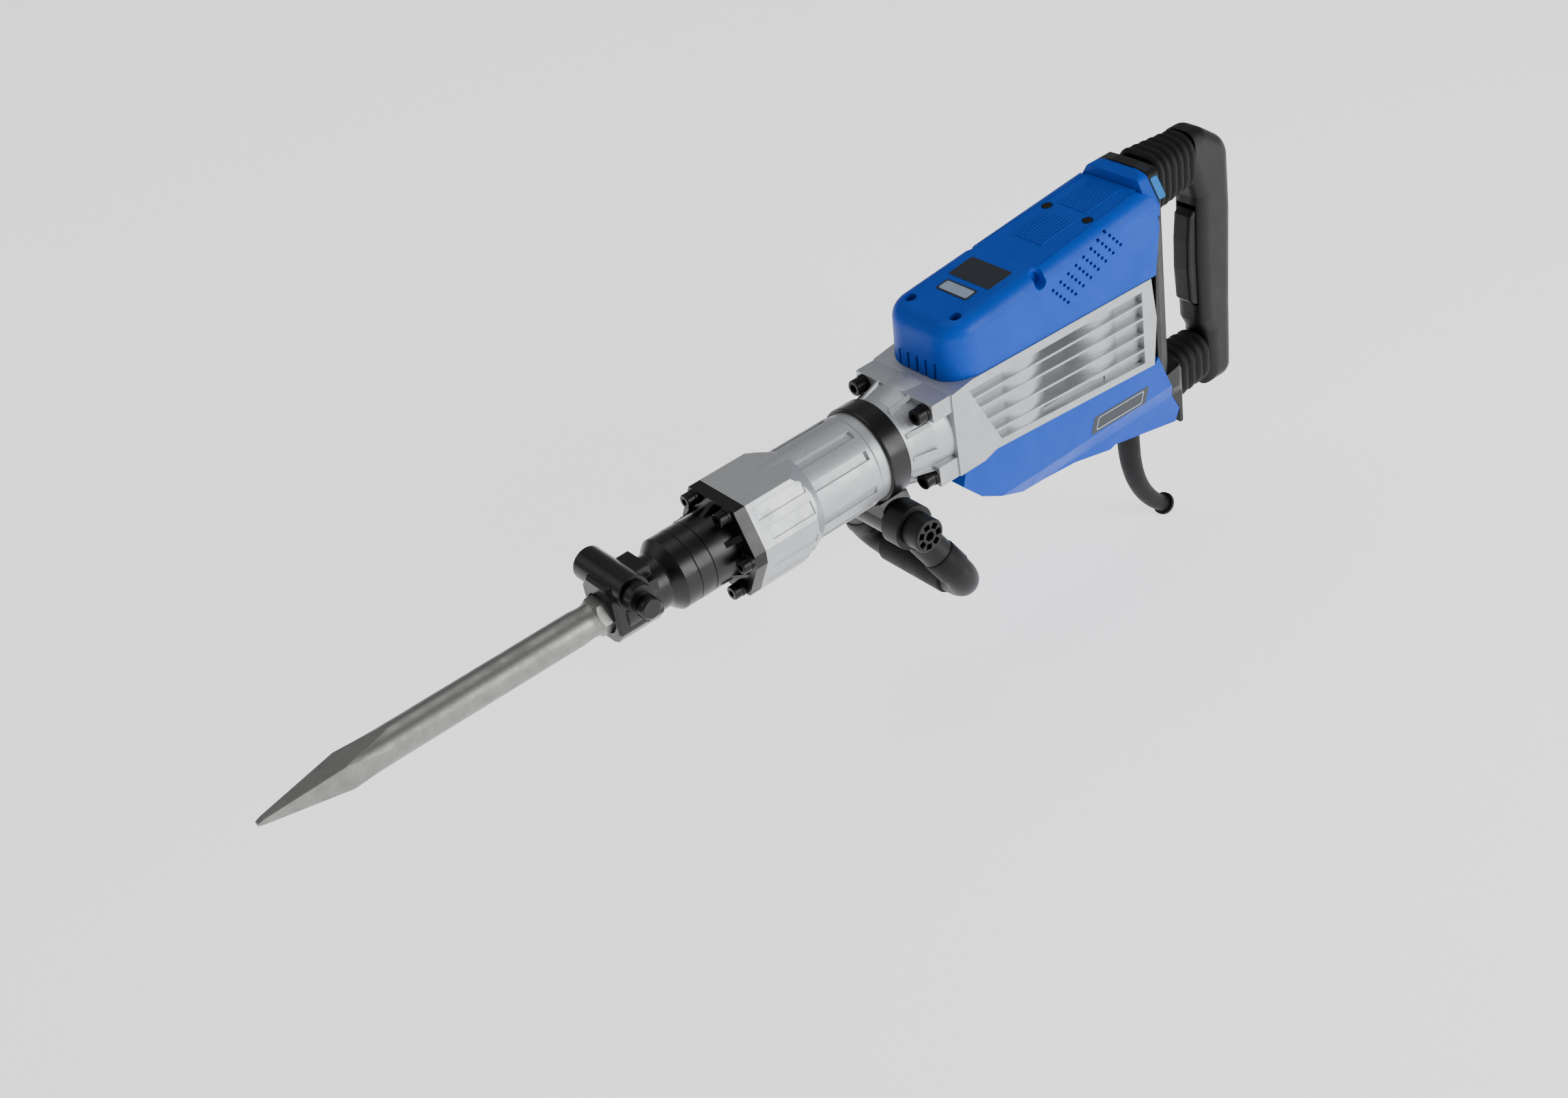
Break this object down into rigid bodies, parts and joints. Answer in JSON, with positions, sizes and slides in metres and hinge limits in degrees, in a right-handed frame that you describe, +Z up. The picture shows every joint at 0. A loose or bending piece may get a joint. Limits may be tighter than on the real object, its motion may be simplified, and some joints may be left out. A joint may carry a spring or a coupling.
{
  "type": "demolition hammer",
  "caption": "Electric demolition hammer with a hexagonal-shank point chisel, a ribbed metal barrel, covered motor housing, sprung rear handle and swinging side handle.",
  "frame": {"origin": "on the barrel axis at the front face of the tool holder", "axes": "+X along the barrel axis towards the rear handle, so the chisel points to -X; +Z up, on the side of the upper cover; +Y to the side away from the clamp knob"},
  "size_m": [1.0676, 0.1568, 0.4111],
  "materials": {
    "black_plastic": "black textured polyamide",
    "black_rubber": "matt black rubber",
    "black_screw": "blackened fastener steel",
    "black_steel": "satin black phosphated steel",
    "blasted_steel": "light grey shot-blasted tool steel",
    "blue_plastic": "bright blue textured polyamide",
    "brass_holder": "stamped brass brush box",
    "carbon": "pressed carbon brush",
    "commutator_copper": "turned copper commutator bars",
    "fan_plastic": "black glass-filled fan plastic",
    "frame_plastic": "dark grey glass-filled plastic",
    "gear_steel": "oiled case-hardened gear steel",
    "ground_steel": "ground and hardened steel",
    "lamination": "stacked electrical steel laminations",
    "raw_aluminium": "unpainted die-cast aluminium",
    "seal_rubber": "nitrile seal rubber",
    "silver_case": "light silver paint on cast aluminium",
    "spring_steel": "oiled spring steel",
    "winding_copper": "varnished copper windings"
  },
  "bodies": {
    "housing": {"front_cover": "black_steel", "retainer_cap": "black_steel", "tool_sleeve": "ground_steel", "front_bolts": "black_screw", "washers": "black_screw", "barrel_case": "silver_case", "rear_bolts": "black_screw", "anvil_guide": "ground_steel", "damper_ring": "seal_rubber", "cylinder_liner": "ground_steel", "crank_bearings": "ground_steel", "layshaft_bearings": "ground_steel", "motor_bearings": "ground_steel", "stator": "lamination", "field_coils": "winding_copper", "motor_frame": "frame_plastic", "brush_holders": "brass_holder", "brushes": "carbon", "crankcase": "silver_case", "crank_lid": "raw_aluminium", "gear_case": "raw_aluminium", "upper_cover": "blue_plastic", "access_lid": "blue_plastic", "cover_screws": "black_screw", "lower_cover": "blue_plastic", "rear_frame": "black_plastic", "bellows_upper": "black_rubber", "bellows_lower": "black_rubber", "handle_springs": "spring_steel", "guide_rods": "ground_steel", "cord_guard": "black_rubber"},
    "chisel": {"chisel": "blasted_steel"},
    "stop_lever": {"stop_lever": "black_steel"},
    "impact_bolt": {"impact_bolt": "ground_steel"},
    "ram": {"ram": "ground_steel", "ram_seal": "seal_rubber"},
    "piston": {"piston": "raw_aluminium", "piston_seal": "seal_rubber", "piston_pins": "ground_steel"},
    "crank": {"crankshaft": "gear_steel", "crank_gear": "gear_steel"},
    "rod": {"connecting_rod": "raw_aluminium"},
    "layshaft": {"layshaft": "gear_steel", "layshaft_gear": "gear_steel"},
    "armature": {"motor_shaft": "ground_steel", "armature_core": "lamination", "armature_windings": "winding_copper", "commutator": "commutator_copper", "fan": "fan_plastic"},
    "handle": {"rear_handle": "black_plastic", "trigger_pin": "ground_steel", "switch": "frame_plastic"},
    "trigger": {"trigger": "black_plastic"},
    "clamp": {"clamp_band": "black_steel", "clamp_base": "black_steel", "clamp_bolt": "black_screw"},
    "loop": {"loop_handle": "black_plastic", "side_grip": "black_rubber"},
    "knob": {"clamp_knob": "black_plastic"}
  },
  "joints": [
    {"name": "chisel_slide", "type": "slide", "parent": "housing", "child": "chisel", "axis": [-1, 0, 0], "range_m": [0, 0.025]},
    {"name": "stop_lever_turn", "type": "hinge", "parent": "housing", "child": "stop_lever", "pos_m": [0.02, 0, 0.022], "axis": [0, 1, 0], "range_deg": [0, 180]},
    {"name": "impact_bolt_slide", "type": "slide", "parent": "housing", "child": "impact_bolt", "axis": [-1, 0, 0], "range_m": [0, 0.006]},
    {"name": "ram_slide", "type": "slide", "parent": "housing", "child": "ram", "axis": [1, 0, 0], "range_m": [-0.003, 0.016]},
    {"name": "piston_slide", "type": "slide", "parent": "housing", "child": "piston", "axis": [1, 0, 0], "range_m": [0, 0.032]},
    {"name": "crank_spin", "type": "hinge", "parent": "housing", "child": "crank", "pos_m": [0.437, 0, 0], "axis": [0, 0, 1], "continuous": true},
    {"name": "rod_swing", "type": "hinge", "parent": "crank", "child": "rod", "pos_m": [0.421, 0, 0], "axis": [0, 0, 1], "continuous": true},
    {"name": "layshaft_spin", "type": "hinge", "parent": "housing", "child": "layshaft", "pos_m": [0.493, 0, 0], "axis": [0, 0, 1], "continuous": true},
    {"name": "armature_spin", "type": "hinge", "parent": "housing", "child": "armature", "pos_m": [0.53487, 0, 0], "axis": [0, 0, 1], "continuous": true},
    {"name": "handle_slide", "type": "slide", "parent": "housing", "child": "handle", "axis": [-1, 0, 0], "range_m": [0, 0.01], "stiffness_N_per_m": 12000, "deforming": ["bellows_upper", "bellows_lower", "handle_springs"]},
    {"name": "trigger_pull", "type": "hinge", "parent": "handle", "child": "trigger", "pos_m": [0.71, 0, 0.042], "axis": [0, -1, 0], "range_deg": [0, 3.5], "stiffness_Nm_per_rad": 2, "springref_deg": -20.05},
    {"name": "clamp_turn", "type": "hinge", "parent": "housing", "child": "clamp", "pos_m": [0.2905, 0, 0], "axis": [1, 0, 0], "continuous": true},
    {"name": "loop_swing", "type": "hinge", "parent": "clamp", "child": "loop", "pos_m": [0.2905, 0, -0.06], "axis": [0, 1, 0], "range_deg": [-10, 110]},
    {"name": "knob_turn", "type": "hinge", "parent": "clamp", "child": "knob", "pos_m": [0.2905, 0, -0.06], "axis": [0, 1, 0], "continuous": true}
  ],
  "couplings": [
    {"joint": "rod_swing", "follows": "crank_spin", "ratio": -1},
    {"joint": "layshaft_spin", "follows": "crank_spin", "ratio": -3},
    {"joint": "armature_spin", "follows": "crank_spin", "ratio": 13.75}
  ]
}
